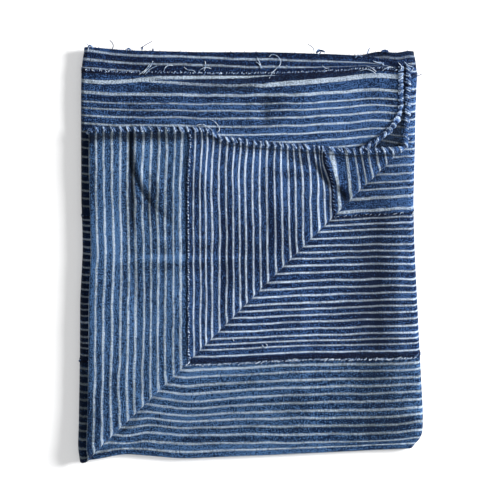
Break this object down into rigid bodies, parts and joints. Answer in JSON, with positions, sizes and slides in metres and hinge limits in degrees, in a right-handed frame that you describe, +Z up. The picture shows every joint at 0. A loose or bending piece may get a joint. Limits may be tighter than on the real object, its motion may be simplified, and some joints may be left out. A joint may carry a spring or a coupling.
{
  "type": "folded strip-woven indigo cloth",
  "caption": "Large indigo and white striped cloth of narrow woven strips sewn edge to edge, folded in half and in three leaves with one corner turned up",
  "frame": {"origin": "centre of the footprint of the folded cloth, on the surface that it rests on", "axes": "+X along the woven strips towards the right-hand fold and the near hem, +Y across the strips towards the selvedges, +Z up through the layers"},
  "size_m": [0.3452, 0.4146, 0.0275],
  "materials": {
    "dark_edge_cloth": "matt hand-woven cotton, dark indigo with thin white warp stripes",
    "broad_stripe_cloth": "matt hand-woven cotton, mid indigo with broad and thin white warp stripes",
    "fine_stripe_cloth": "matt hand-woven cotton, deep indigo with thin even white warp stripes",
    "pale_stripe_cloth": "matt hand-woven cotton, worn mid indigo with greyish warp stripes"
  },
  "bodies": {
    "root": {"strip_edge_upper": "dark_edge_cloth", "strip_broad_upper": "broad_stripe_cloth", "strip_fine_upper": "fine_stripe_cloth", "strip_pale_middle": "pale_stripe_cloth", "strip_fine_lower": "fine_stripe_cloth", "strip_broad_lower": "broad_stripe_cloth", "strip_edge_lower": "dark_edge_cloth"}
  },
  "joints": []
}
